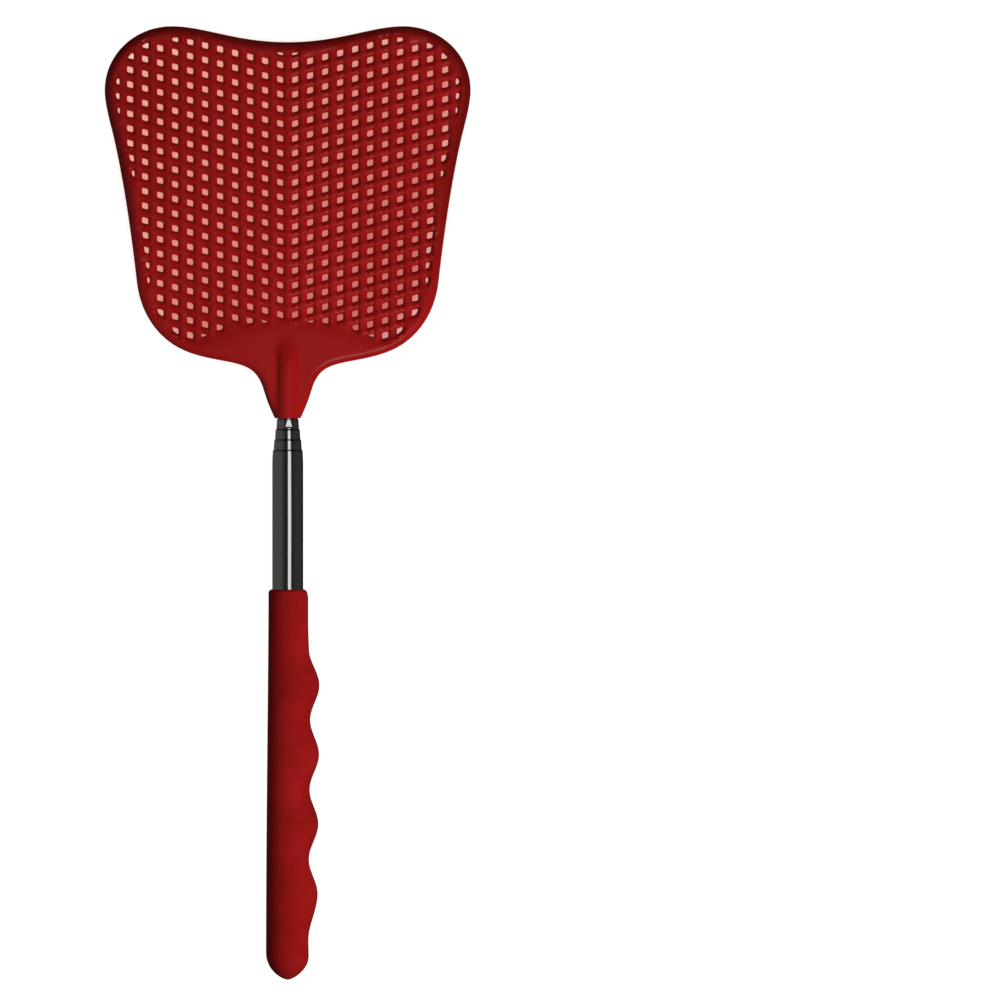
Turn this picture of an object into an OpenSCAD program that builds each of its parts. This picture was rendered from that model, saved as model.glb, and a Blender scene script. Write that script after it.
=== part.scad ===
// Telescopic fly swatter, closed.
// The butt of the grip is at the origin and the pole runs up +Z.
// The blade lies in the XZ plane with its front towards -Y, and the finger bumps face +X.
// All lengths are in millimetres.

/* [Head] */
// Width of the head across its two lobes
head_w = 105.4; // [102:0.2:108]
// Thickness of the pierced blade
blade_t = 1.6; // [1.2:0.1:2]
// Thickness of the rim and of the solid shoulder under the blade
rim_t = 2.4; // [2.2:0.1:3]
// Width of the rim round the blade
rim_w = 2.8; // [2.4:0.1:3.2]
// Distance from one column of holes to the next
column_pitch = 4.32; // [4.2:0.04:4.8]
// Distance from one row of holes to the next
row_pitch = 4.23; // [4.11:0.04:4.75]
// Width and height of one hole
hole_size = 2.6; // [2:0.1:3]
// Rise of a row of holes for each millimetre outwards
row_slope = 0.26; // [0.1:0.02:0.4]
// Thickness of the neck under the shoulder
neck_t = 3.8; // [3.2:0.1:4.4]
// Diameter of the round boss that holds the innermost tube
boss_d = 7.4; // [6.8:0.1:7.6]
// Depth of the socket in the boss
socket_depth = 15; // [12:0.5:16]

/* [Pole] */
// Outside diameter of the outermost tube
pole_d = 9; // [8.8:0.1:9.2]
// Height of the mouth of the outermost tube above the butt
mouth_z = 152.6; // [150:0.2:156]
// Length of each inner tube that shows when the pole is closed
band_h = 3; // [2.5:0.1:3.5]
// Difference in diameter between one tube and the next
tube_step = 0.8; // [0.78:0.01:0.84]
// Wall of each tube
tube_wall = 0.25; // [0.2:0.01:0.26]
// Height over which the mouth of a tube closes in on the next tube
mouth_h = 4.5; // [3:0.5:6]
// Clearance on the radius between parts that run on each other
run_gap = 0.03; // [0.02:0.01:0.05]

/* [Grip] */
// Length of the grip
grip_h = 112.4; // [108:0.2:116]
// Diameter of the grip at its butt
grip_d = 12.4; // [12:0.2:12.8]
// Diameter of the grip at its top
grip_top_d = 11; // [10.6:0.1:11.4]
// Distance from one finger bump to the next
bump_pitch = 20; // [18:0.5:21]
// Height of the middle of the lowest finger bump
first_bump_z = 24.8; // [22:0.2:26]
// Reach of a finger bump from the axis of the pole
bump_reach = 9; // [8:0.1:10]

/* [Hidden] */
$fn = 64;
eps = 0.5;

// Pole: the tubes are numbered from the outermost, 1, to the innermost, 5.
tubes = 5;
lip_wall = 0.15;
foot_z = 6;
plug_h = 4;
flange_h = 1.2;
necking = 0.7;
neck_h = 5;
cone_h = 0.6;
foot_pitch = 7.2;
rest_gap = 0.2;
spring_gap = 0.05;
vent_d = 2;
split_w = 1.2;
head_z = mouth_z + (tubes - 2) * band_h + 0.1;

// Grip
butt_h = 8;
shoulder_r = (grip_top_d - pole_d) / 2;
bumps = 4;
bump_r = 6;
bump_swell = 1.35;
wave_steps = 16;

// Head: heights are above the mouth of the neck.
half_w = head_w / 2;
top_dip_h = 108.3;
lobe_h = 112.9;
widest_h = 94.5;
arch_h = 27.6;
arch_r = 68;
neck_top_h = 14;
boss_h = 16;
boss_fade_h = 5;
boss_fade_d = 3;
columns = 12;
rows = 26;
first_row_h = -0.3;
steps = 8;

// Outside diameter of tube n
function tube_d(n) = pole_d - (n - 1) * tube_step;

// Bore of tube n
function bore_d(n) = tube_d(n) - 2 * tube_wall;

// Bore of the mouth of tube n, which guides the next tube
function lip_d(n) = tube_d(n + 1) + 2 * run_gap;

// Outside diameter of the necked foot of tube n
function neck_d(n) = tube_d(n) - necking;

// Height of the foot of tube n
function tube_foot(n) = n == 1 ? foot_z
    : foot_z + plug_h + rest_gap + flange_h + (n - 2) * foot_pitch;

// Height of the mouth of tube n
function tube_mouth(n) = n == tubes ? head_z + socket_depth : mouth_z + (n - 1) * band_h;

// Points of a cubic curve from a to d with handles b and c, without its last point
function cubic(a, b, c, d) = [
    for (i = [0 : steps - 1])
        let (t = i / steps, u = 1 - t)
            u * u * u * a + 3 * u * u * t * b + 3 * u * t * t * c + t * t * t * d
];

// The points of a half outline followed by their mirror images
function both_halves(p) = concat(p, [for (i = [len(p) - 1 : -1 : 0]) [-p[i].x, p[i].y]]);

// Each inner point of a half outline moved square to the curve, towards the inside
function inset(p, d) = [
    for (i = [1 : len(p) - 2])
        let (along = p[i + 1] - p[i - 1], size = norm(along))
            p[i] + d * [along.y, -along.x] / size
];

// Right half of the head from the dip between the lobes to the end of the shoulder
upper_half = concat(
    cubic([0, top_dip_h], [15, top_dip_h], [24, lobe_h], [half_w - 19.3, lobe_h]),
    cubic([half_w - 19.3, lobe_h], [half_w - 8.6, lobe_h], [half_w, 104.7], [half_w, widest_h]),
    cubic([half_w, widest_h], [half_w, 90.3], [half_w - 1.7, 84.8], [half_w - 2.8, 80.1]),
    cubic([half_w - 2.8, 80.1], [half_w - 5.7, 67.1], [half_w - 7.7, 52.8], [half_w - 9.2, 39.8]),
    cubic([half_w - 9.2, 39.8], [half_w - 10.1, 30.3], [37.4, 22.8], [29.8, 19.5])
);

// Right half of the throat, from the shoulder down to the mouth of the neck
lower_half = concat(
    cubic([29.8, 19.5], [21.5, 15.9], [12.6, 17], [9.2, 12.7]),
    cubic([9.2, 12.7], [6.5, 9.3], [7.4, 7.4], [boss_d / 2, 0]),
    [[boss_d / 2, 0]]
);

module outline() {
    polygon(both_halves(concat(upper_half, lower_half)));
}

// The pierced field: inside the rim and above the arched shoulder
module field() {
    difference() {
        polygon(both_halves(inset(upper_half, rim_w)));
        translate([0, arch_h - arch_r]) circle(r = arch_r, $fn = 128);
    }
}

// One hole: upright sides, top and bottom sloped with its row
module hole(side) {
    rise = side * row_slope * hole_size / 2;
    half = hole_size / 2;
    polygon([[-half, -half - rise], [half, -half + rise], [half, half + rise], [-half, half - rise]]);
}

module holes() {
    for (side = [-1, 1], c = [0 : columns - 1], r = [0 : rows - 1]) {
        x = (c + 0.5) * column_pitch;
        translate([side * x, first_row_h + r * row_pitch + row_slope * x]) hole(side);
    }
}

// Stands a flat shape up in the XZ plane, with its thickness shared across y = 0
module upright(t) {
    translate([0, t / 2, head_z]) rotate([90, 0, 0]) linear_extrude(t) children();
}

module swatter_head() {
    color("firebrick") difference() {
        union() {
            upright(blade_t) difference() {
                outline();
                intersection() {
                    field();
                    holes();
                }
            }
            upright(rim_t) difference() {
                outline();
                field();
            }
            upright(neck_t) intersection() {
                outline();
                translate([-half_w, 0]) square([head_w, neck_top_h]);
            }
            translate([0, 0, head_z]) cylinder(h = boss_h, d = boss_d);
            translate([0, 0, head_z + boss_h]) cylinder(h = boss_fade_h, d1 = boss_d, d2 = boss_fade_d);
        }
        translate([0, 0, head_z - eps]) cylinder(h = socket_depth + eps, d = tube_d(tubes));
    }
}

// Radius of the row of finger bumps at height z, a cosine wave
function bump_profile(z) = bump_r - bump_swell * (1 - cos(360 * (z - first_bump_z) / bump_pitch));

// A soft sleeve, closed at the butt, with four finger bumps
module grip() {
    bumps_lo = first_bump_z - bump_pitch / 2;
    bumps_hi = bumps_lo + bumps * bump_pitch;
    butt = cubic([0, 0], [2.5, 0.6], [grip_d / 2, 2.2], [grip_d / 2, butt_h]);
    shoulder = [for (a = [0 : 15 : 90]) [
        grip_top_d / 2 - shoulder_r + shoulder_r * cos(a),
        grip_h - shoulder_r + shoulder_r * sin(a)
    ]];
    wave = [for (z = [bumps_lo : bump_pitch / wave_steps : bumps_hi]) [bump_profile(z), z]];
    color("darkred") difference() {
        union() {
            rotate_extrude() polygon(concat(butt, [[grip_d / 2, butt_h]], shoulder, [[0, grip_h]]));
            translate([bump_reach - bump_r, 0, 0])
                rotate_extrude() polygon(concat([[0, bumps_lo]], wave, [[0, bumps_hi]]));
        }
        translate([0, 0, foot_z]) cylinder(h = grip_h, d = pole_d);
    }
}

// A thin tube whose mouth closes in on the next tube, and whose foot is necked
module tube(n) {
    z0 = tube_foot(n);
    z1 = tube_mouth(n);
    neck = n == 1 ? 0 : neck_h;
    cone = n == 1 ? 0 : cone_h;
    foot_r = (n == 1 ? tube_d(n) : neck_d(n)) / 2;
    out_r = tube_d(n) / 2;
    in_r = bore_d(n) / 2;
    lip_r = n == tubes ? in_r : lip_d(n) / 2;
    lip_out_r = n == tubes ? out_r : lip_r + lip_wall;
    outside = concat(
        n == 1 ? [] : [[foot_r, z0], [foot_r, z0 + neck]],
        [[out_r, z0 + neck + cone]],
        n == tubes ? [] : [[out_r, z1 - mouth_h]],
        [[lip_out_r, z1]]
    );
    inside = concat(
        [[lip_r, z1]],
        n == tubes ? [] : [[in_r, z1 - mouth_h]],
        [[in_r, z0 + neck + cone]],
        n == 1 ? [] : [[foot_r - tube_wall, z0 + neck], [foot_r - tube_wall, z0]]
    );
    color("silver") rotate_extrude() polygon(concat(outside, inside));
}

// Plug in the foot of the outermost tube
module end_plug() {
    color("dimgray") difference() {
        translate([0, 0, foot_z]) cylinder(h = plug_h, d = bore_d(1));
        translate([0, 0, foot_z - eps]) cylinder(h = plug_h + 2 * eps, d = vent_d);
    }
}

// Vented bush pressed into the foot of tube n, with a flange that slides in the tube outside it
module foot_bush(n) {
    z0 = tube_foot(n);
    color("goldenrod") difference() {
        union() {
            translate([0, 0, z0 - flange_h]) cylinder(h = flange_h, d = bore_d(n - 1) - 2 * run_gap);
            translate([0, 0, z0]) cylinder(h = neck_h - eps, d = neck_d(n) - 2 * tube_wall);
        }
        translate([0, 0, z0 - flange_h - eps]) cylinder(h = neck_h + flange_h + eps, d = vent_d);
    }
}

// Split sleeve round the necked foot of tube n, which drags in the bore of the tube outside it
module friction_spring(n) {
    z0 = tube_foot(n) + spring_gap;
    h = neck_h - 2 * spring_gap;
    color("peru") difference() {
        translate([0, 0, z0]) cylinder(h = h, d = bore_d(n - 1) - 2 * run_gap);
        translate([0, 0, z0 - eps]) cylinder(h = h + 2 * eps, d = neck_d(n) + 2 * run_gap);
        translate([0, -split_w / 2, z0 - eps]) cube([pole_d, split_w, h + 2 * eps]);
    }
}

swatter_head();
grip();
tube(1);  // outer_tube
end_plug();
tube(2);  // tube_2
foot_bush(2);  // foot_bush_2
friction_spring(2);  // friction_spring_2
tube(3);  // tube_3
foot_bush(3);  // foot_bush_3
friction_spring(3);  // friction_spring_3
tube(4);  // tube_4
foot_bush(4);  // foot_bush_4
friction_spring(4);  // friction_spring_4
tube(5);  // tube_5
foot_bush(5);  // foot_bush_5
friction_spring(5);  // friction_spring_5
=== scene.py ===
# %% [markdown]
# # A telescopic fly swatter
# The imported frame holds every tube, bush, spring and joint of the swatter at its real place, in metres.
# Those pieces work, but they are plain. This lesson keeps the frame as it is and adds what the eye sees:
# the pierced plastic head with its funnel-shaped holes, polished steel tubes with drawn-in mouths, and the
# soft grip with its finger bumps. Each new piece rides on the body of the frame that carries it.

# %% Load the frame
import math

import bpy
import numpy as np
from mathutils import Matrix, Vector
from mathutils.geometry import delaunay_2d_cdt


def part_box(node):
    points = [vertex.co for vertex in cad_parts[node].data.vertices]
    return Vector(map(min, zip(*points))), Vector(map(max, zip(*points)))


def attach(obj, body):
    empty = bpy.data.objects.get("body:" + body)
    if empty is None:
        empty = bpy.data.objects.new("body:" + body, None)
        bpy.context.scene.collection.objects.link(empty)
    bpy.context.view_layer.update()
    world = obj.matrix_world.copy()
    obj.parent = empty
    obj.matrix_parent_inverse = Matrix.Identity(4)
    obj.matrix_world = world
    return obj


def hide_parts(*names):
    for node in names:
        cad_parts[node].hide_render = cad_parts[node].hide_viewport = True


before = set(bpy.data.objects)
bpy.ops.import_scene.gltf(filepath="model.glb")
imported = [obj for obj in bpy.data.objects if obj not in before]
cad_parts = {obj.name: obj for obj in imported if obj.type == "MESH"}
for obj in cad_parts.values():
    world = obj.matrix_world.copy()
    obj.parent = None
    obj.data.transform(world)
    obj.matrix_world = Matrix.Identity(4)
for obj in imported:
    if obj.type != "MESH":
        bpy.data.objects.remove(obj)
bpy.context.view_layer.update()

MM = 0.001

# %% [markdown]
# ## Measuring in millimetres
# The formulas below read best in millimetres, as on a workshop drawing. The frame is in metres, so one
# helper reads a node's box in millimetres, and another turns finished points back into metres when it
# makes the mesh.

# %% Read a node's box in millimetres
def box_mm(node):
    """Lowest and highest corner of a node of the frame, in millimetres."""
    low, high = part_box(node)
    return np.array(low) / MM, np.array(high) / MM


grip_low, grip_high = box_mm("grip")
head_low, head_high = box_mm("swatter_head")
print("head, mm:", head_low.round(2), head_high.round(2))

# %% [markdown]
# ## Grids of points
# A turned or swept shape is a grid: each row is one ring of points, and the rows follow each other along
# the shape. Only two things are needed to make a mesh of it: the points, and a rule that joins each point
# to its right and upper neighbours. Working out whole arrays at once is fast and keeps the formula short.

# %% Join the rows of a grid
def grid_faces(rows, columns, first=0, close_rows=False):
    """Faces between neighbouring rings: a corner, the next along the ring, then the same two a row on."""
    count = rows if close_rows else rows - 1
    r, c = np.meshgrid(np.arange(count), np.arange(columns), indexing="ij")
    here = first + r * columns + c
    along = first + r * columns + (c + 1) % columns
    above = first + (r + 1) % rows * columns + c
    above_along = first + (r + 1) % rows * columns + (c + 1) % columns
    return np.stack([here, along, above_along, above], axis=-1).reshape(-1, 4)


# %% Make a mesh object
def make_mesh(name, points, faces, sharp_over=None):
    """Smooth-shaded object from points in millimetres. Edges that turn by more than sharp_over degrees
    stay crisp."""
    mesh = bpy.data.meshes.new(name)
    mesh.from_pydata((np.asarray(points) * MM).tolist(), [], faces)
    mesh.validate()
    mesh.polygons.foreach_set("use_smooth", np.ones(len(mesh.polygons), dtype=bool))
    if sharp_over is not None:
        mesh.set_sharp_from_angle(angle=math.radians(sharp_over))
    mesh.update()
    made = bpy.data.objects.new(name, mesh)
    bpy.context.scene.collection.objects.link(made)
    print(f"{name}: {len(mesh.vertices)} points, {len(mesh.polygons)} faces")
    return made


# %% [markdown]
# ## The camera
# The swatter is seen square from the front through a long lens, so its edges stay parallel. The picture is
# as high as the swatter and a little more, and the swatter stands left of the middle. Moving the camera to
# the right does this without any lens shift.

# %% Place the camera
PICTURE_HEIGHT = 288.3
CAMERA_RIGHT = 61.3
CAMERA_UP = 138.0
LENS = 300.0
SENSOR = 36.0
camera_data = bpy.data.cameras.new("camera")
camera_data.lens = LENS
camera_data.sensor_width = SENSOR
camera = bpy.data.objects.new("camera", camera_data)
bpy.context.scene.collection.objects.link(camera)
camera_distance = PICTURE_HEIGHT * LENS / SENSOR
camera.location = Vector((CAMERA_RIGHT, -camera_distance, CAMERA_UP)) * MM
camera.rotation_euler = (math.radians(90), 0, 0)
camera_data.clip_end = 100
bpy.context.scene.camera = camera
print("camera distance, mm:", round(camera_distance))

# %% [markdown]
# ## Shared shader groups
# Three effects turn up in more than one material, so each is built once as a group with named sockets:
# a fine grain that gives a height and a roughness, a slow drift of tone over the piece, and the hair-thin
# lines that drawing and handling leave on metal. Every group puts out plain values, and the shader that
# uses them stays in the material.

# %% Start a shader group
def new_group(name, inputs, outputs):
    """A shader node group. inputs maps a socket's name to its starting value, and outputs lists names."""
    group = bpy.data.node_groups.new(name, "ShaderNodeTree")
    for label, value in inputs.items():
        kind = "NodeSocketVector" if label == "Position" else "NodeSocketFloat"
        socket = group.interface.new_socket(name=label, in_out="INPUT", socket_type=kind)
        if value is not None:
            socket.default_value = value
    for label in outputs:
        group.interface.new_socket(name=label, in_out="OUTPUT", socket_type="NodeSocketFloat")
    return group, group.nodes.new("NodeGroupInput"), group.nodes.new("NodeGroupOutput")


def set_inputs(node, **values):
    """Sets constant sockets of a node by name, with an underscore for each space in the name."""
    for label, value in values.items():
        node.inputs[label.replace("_", " ")].default_value = value


def add_noise(tree, detail):
    """A three-dimensional noise node with a given fineness of detail."""
    noise = tree.nodes.new("ShaderNodeTexNoise")
    set_inputs(noise, Detail=detail)
    return noise


def add_math(tree, operation, second=None):
    """A node that does one sum. Its second number can be fixed here."""
    node = tree.nodes.new("ShaderNodeMath")
    node.operation = operation
    if second is not None:
        node.inputs[1].default_value = second
    return node


def add_range(tree, low, high, to_low=0.0, to_high=1.0):
    """Maps low..high to to_low..to_high and holds the ends."""
    step = tree.nodes.new("ShaderNodeMapRange")
    set_inputs(step, From_Min=low, From_Max=high, To_Min=to_low, To_Max=to_high)
    return step


# %% Fine grain
def build_fine_grain():
    """Height: fine noise plus a coarser noise. Roughness: the fine noise spread between two values."""
    tree, given, result = new_group(
        "fine_grain", {"Position": None, "Scale": 1000.0, "Low": 0.3, "High": 0.5},
        ["Height", "Roughness"])
    fine, coarse = add_noise(tree, 3.0), add_noise(tree, 2.0)
    slower, mix = add_math(tree, "MULTIPLY", 0.28), add_math(tree, "MULTIPLY_ADD", 0.5)
    spread = add_range(tree, 0.35, 0.65)
    link = tree.links.new
    link(given.outputs["Position"], fine.inputs["Vector"])
    link(given.outputs["Position"], coarse.inputs["Vector"])
    link(given.outputs["Scale"], fine.inputs["Scale"])
    link(given.outputs["Scale"], slower.inputs[0])
    link(slower.outputs[0], coarse.inputs["Scale"])
    link(coarse.outputs["Fac"], mix.inputs[0])
    link(fine.outputs["Fac"], mix.inputs[2])
    link(fine.outputs["Fac"], spread.inputs["Value"])
    link(given.outputs["Low"], spread.inputs["To Min"])
    link(given.outputs["High"], spread.inputs["To Max"])
    link(mix.outputs[0], result.inputs["Height"])
    link(spread.outputs[0], result.inputs["Roughness"])
    return tree


fine_grain = build_fine_grain()
print("group:", fine_grain.name)

# %% Slow drift of tone
def build_tone_drift():
    """A slow noise stretched to the whole range from 0 to 1, to mix two tones of one colour."""
    tree, given, result = new_group("tone_drift", {"Position": None, "Scale": 40.0}, ["Mask"])
    noise, stretch = add_noise(tree, 2.0), add_range(tree, 0.32, 0.68)
    tree.links.new(given.outputs["Position"], noise.inputs["Vector"])
    tree.links.new(given.outputs["Scale"], noise.inputs["Scale"])
    tree.links.new(noise.outputs["Fac"], stretch.inputs["Value"])
    tree.links.new(stretch.outputs[0], result.inputs["Mask"])
    return tree


tone_drift = build_tone_drift()
print("group:", tone_drift.name)

# %% Drawn and handled metal
def build_drawn_lines():
    """Lines along Z: noise on a position squeezed in height. Marks: the same noise where it peaks."""
    tree, given, result = new_group(
        "drawn_lines", {"Position": None, "Scale": 1500.0}, ["Height", "Marks"])
    squeeze = tree.nodes.new("ShaderNodeVectorMath")
    squeeze.operation = "MULTIPLY"
    squeeze.inputs[1].default_value = (1.0, 1.0, 0.012)
    lines, marks = add_noise(tree, 2.0), add_range(tree, 0.6, 0.72)
    link = tree.links.new
    link(given.outputs["Position"], squeeze.inputs[0])
    link(squeeze.outputs[0], lines.inputs["Vector"])
    link(given.outputs["Scale"], lines.inputs["Scale"])
    link(lines.outputs["Fac"], marks.inputs["Value"])
    link(lines.outputs["Fac"], result.inputs["Height"])
    link(marks.outputs[0], result.inputs["Marks"])
    return tree


drawn_lines = build_drawn_lines()
print("group:", drawn_lines.name)

# %% [markdown]
# ## Materials
# Every material starts the same way: a Principled shader, a place to read the position on the piece, and
# one or more of the shared groups. A helper makes that start, and another joins the last sockets. The
# rubber, the soft metals and the plug differ only in numbers, so they share one function.

# %% Start a material
def start_material(name, **sockets):
    """A material with a Principled shader, whose constant sockets are named here, and the position."""
    material = bpy.data.materials.new(name)
    material.use_nodes = True
    tree = material.node_tree
    shader = tree.nodes["Principled BSDF"]
    set_inputs(shader, **sockets)
    place = tree.nodes.new("ShaderNodeTexCoord").outputs["Object"]
    return material, tree, shader, place


def use_group(tree, group, place, **values):
    """Places a shared group in a material, feeds it the position and sets its other sockets."""
    node = tree.nodes.new("ShaderNodeGroup")
    node.node_tree = group
    tree.links.new(place, node.inputs["Position"])
    set_inputs(node, **values)
    return node


def mix_tones(tree, mask, dark, light):
    """Mixes two colours by a mask and gives the colour socket."""
    mix = tree.nodes.new("ShaderNodeMix")
    mix.data_type = "RGBA"
    mix.inputs[6].default_value = (*dark, 1)
    mix.inputs[7].default_value = (*light, 1)
    tree.links.new(mask, mix.inputs["Factor"])
    return mix.outputs[2]


def finish_surface(tree, shader, colour, roughness, height, depth, strength):
    """Feeds colour and roughness to the shader, and a height in units of depth metres to its normal."""
    bump = tree.nodes.new("ShaderNodeBump")
    set_inputs(bump, Strength=strength, Distance=depth)
    tree.links.new(colour, shader.inputs["Base Color"])
    tree.links.new(roughness, shader.inputs["Roughness"])
    tree.links.new(height, bump.inputs["Height"])
    tree.links.new(bump.outputs["Normal"], shader.inputs["Normal"])


# %% Red plastic of the head
# Name of the point attribute that holds the painted shade of the rim.
RIM_SHADE_ATTRIBUTE = "rim_painted_shade"


def make_head_plastic():
    """Semi-gloss red plastic: two close tones, a painted shade that darkens the upper rim, and some light
    inside.
    """
    material, tree, shader, place = start_material(
        "head_plastic", Subsurface_Weight=0.25, Subsurface_Radius=(1.0, 0.08, 0.06),
        Subsurface_Scale=0.001, Specular_IOR_Level=0.3)
    drift = use_group(tree, tone_drift, place, Scale=22.0)
    colour = mix_tones(tree, drift.outputs["Mask"], (0.225, 0.0036, 0.0033), (0.262, 0.0048, 0.0042))
    grain = use_group(tree, fine_grain, place, Scale=900.0, Low=0.29, High=0.33)
    rim = tree.nodes.new("ShaderNodeAttribute")
    rim.attribute_name = RIM_SHADE_ATTRIBUTE
    # Painted shade: the rim attribute mixes the colour towards a darker red at the rim of the upper lobes.
    deeper = mix_tones(tree, rim.outputs["Fac"], (0, 0, 0), (0.11, 0.0026, 0.0024))
    tree.links.new(colour, deeper.node.inputs[6])
    finish_surface(tree, shader, deeper, grain.outputs["Roughness"], grain.outputs["Height"], 0.00001, 0.6)
    return material


head_plastic = make_head_plastic()
print("material:", head_plastic.name)

# %% Foam rubber of the grip
def make_grained(name, tones, scales, rough, depth, strength, **sockets):
    """Two slowly drifting tones, and a fine grain in the roughness and the height."""
    material, tree, shader, place = start_material(name, **sockets)
    drift = use_group(tree, tone_drift, place, Scale=scales[0])
    grain = use_group(tree, fine_grain, place, Scale=scales[1], Low=rough[0], High=rough[1])
    colour = mix_tones(tree, drift.outputs["Mask"], *tones)
    rough, height = grain.outputs["Roughness"], grain.outputs["Height"]
    finish_surface(tree, shader, colour, rough, height, depth, strength)
    return material


grip_rubber = make_grained(
    "grip_rubber", ((0.162, 0.0037, 0.0039), (0.2, 0.0054, 0.0056)), (90.0, 1900.0), (0.62, 0.82), 0.00008,
    0.8, Specular_IOR_Level=0.05, Sheen_Weight=0.01, Sheen_Roughness=0.5, Sheen_Tint=(1.0, 0.5, 0.5, 1))
print("material:", grip_rubber.name)

# %% Polished steel of the tubes
def make_tube_steel():
    """Bright drawn steel: almost a mirror, with hair lines along the tube and dull rubbed marks."""
    material, tree, shader, place = start_material("tube_steel", Metallic=1.0)
    lines = use_group(tree, drawn_lines, place, Scale=1600.0)
    colour = mix_tones(tree, lines.outputs["Marks"], (0.63, 0.625, 0.6), (0.5, 0.495, 0.47))
    dull = add_range(tree, 0.0, 1.0, 0.1, 0.24)
    tree.links.new(lines.outputs["Marks"], dull.inputs["Value"])
    finish_surface(tree, shader, colour, dull.outputs[0], lines.outputs["Height"], 0.000003, 0.5)
    return material


tube_steel = make_tube_steel()
print("material:", tube_steel.name)

# %% Brass, bronze and black plastic of the hidden parts
METAL_SCALES = (300.0, 3000.0)
bush_brass = make_grained(
    "bush_brass", ((0.55, 0.36, 0.1), (0.68, 0.47, 0.16)), METAL_SCALES, (0.22, 0.36), 0.000005, 0.5,
    Metallic=1.0)
spring_bronze = make_grained(
    "spring_bronze", ((0.46, 0.22, 0.09), (0.6, 0.32, 0.15)), METAL_SCALES, (0.26, 0.4), 0.000005, 0.5,
    Metallic=1.0)
plug_plastic = make_grained(
    "plug_plastic", ((0.02, 0.02, 0.02), (0.035, 0.035, 0.035)), (200.0, 2500.0), (0.45, 0.6), 0.00001,
    0.5, Specular_IOR_Level=0.4)
hidden_finish = {"end_plug": plug_plastic}
INNER_TUBES = (2, 3, 4, 5)
for number in INNER_TUBES:
    hidden_finish[f"foot_bush_{number}"] = bush_brass
    hidden_finish[f"friction_spring_{number}"] = spring_bronze
for node, finish in hidden_finish.items():
    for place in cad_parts[node].material_slots:
        place.link = "OBJECT"
        place.material = finish
print("finished in place:", ", ".join(hidden_finish))

# %% [markdown]
# ## The steel tubes
# A telescopic pole is a nest of thin drawn tubes. The mouth of each is pressed inwards until it just
# clears the next tube, and the foot of each inner tube is necked down to carry its friction spring. All of
# that is a shape of revolution, so a tube is one closed outline of radius and height carried round the
# axis. The outline bends smoothly at the mouth, because a mirror finish shows every kink. One narrow tube
# also has a small wedge pressed flat in its mouth, which catches the light.

# %% Carry an outline round the axis
TUBE_WALL = 0.25
RUN_GAP = 0.03
LIP_WALL = 0.23
LIP_HEIGHT = 0.75
MOUTH_HEIGHT = 4.5
MOUTH_POWER = 1.7
MOUTH_STEPS = 40
PLAIN_END = 1.0
NECKING = 0.35
NECK_HEIGHT = 5.0
CONE_HEIGHT = 0.6
FOOT_EDGE = 0.2
PLAIN_FOOT_EDGE = 0.3


def turn_outline(radius, height, around):
    """Each outline point (radius, height) at each angle: x = r cos a, y = r sin a, z = height. The radius
    can also have a column for each angle."""
    angle = np.linspace(0, 2 * np.pi, around, endpoint=False)
    across = radius.reshape(len(height), -1)
    up = np.broadcast_to(height[:, None], (len(height), around))
    return np.stack([across * np.cos(angle), across * np.sin(angle), up], axis=-1)


def smooth_step(low, high, value):
    """Rises from 0 at low to 1 at high, level at both ends."""
    t = np.clip((value - low) / (high - low), 0, 1)
    return t * t * (3 - 2 * t)


def draw_in(start, end, share):
    """Radius at a share of the way up the mouth: slow at first and faster towards the lip."""
    return start + (end - start) * share ** MOUTH_POWER


# %% Shape one tube
def tube_outline(foot, mouth, outer, next_outer, necked):
    """Closed outline of a tube: up the outside, over the lip, down the bore and across the foot."""
    bore = outer - TUBE_WALL
    foot_r = outer - NECKING if necked else outer
    share = np.linspace(0, 1, MOUTH_STEPS)
    if next_outer is None:
        lip_out, lip_in, mouth_foot = outer, bore, mouth - PLAIN_END
    else:
        lip_in = next_outer + RUN_GAP
        lip_out, mouth_foot = lip_in + LIP_WALL, mouth - MOUTH_HEIGHT
    rise = mouth_foot + (mouth - LIP_HEIGHT - mouth_foot) * share
    over = np.linspace(0, np.pi / 2, 8)[1:]
    lip_r = lip_in + (lip_out - lip_in) * np.cos(over)
    lip = np.stack([lip_r, mouth - LIP_HEIGHT + LIP_HEIGHT * np.sin(over)], -1)
    outside = np.stack([draw_in(outer, lip_out, share), rise], -1)
    inside = np.stack([draw_in(bore, lip_in, share), rise], -1)[::-1]
    shoulder_out = shoulder_in = np.empty((0, 2))
    if necked:
        body_foot = foot + (NECK_HEIGHT + CONE_HEIGHT)
        ease = np.linspace(0, 1, 6)
        cone = (1 - np.cos(np.pi * ease)) / 2
        cone_r = foot_r + (outer - foot_r) * cone
        shoulder_out = np.stack([cone_r, body_foot - CONE_HEIGHT * (1 - ease)], -1)
        shoulder_in = shoulder_out - [TUBE_WALL, 0]
    up = [[foot_r, foot], [foot_r, foot + (FOOT_EDGE if necked else PLAIN_FOOT_EDGE)]]
    down = [[foot_r - TUBE_WALL, foot + FOOT_EDGE], [foot_r - TUBE_WALL, foot]]
    return np.vstack([up, shoulder_out, outside, lip, inside, shoulder_in[::-1], down])


TUBE_AROUND = 160
tube_names = {1: "outer_tube", **{number: f"tube_{number}" for number in INNER_TUBES}}
tube_body = {1: "handle", **{number: f"section_{number}" for number in INNER_TUBES}}


def tube_radius(number):
    """Outside radius of a tube, from the box of its node."""
    low, high = box_mm(tube_names[number])
    return (high[0] - low[0]) / 2


FLAT_TUBE = 4
FLAT_TURN = math.radians(-82.5)
FLAT_LENGTH = 2.3
FLAT_FOOT_HALF = math.radians(17)
FLAT_TOP_HALF = math.radians(5)
FLAT_RUN_OUT = 0.5


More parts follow.
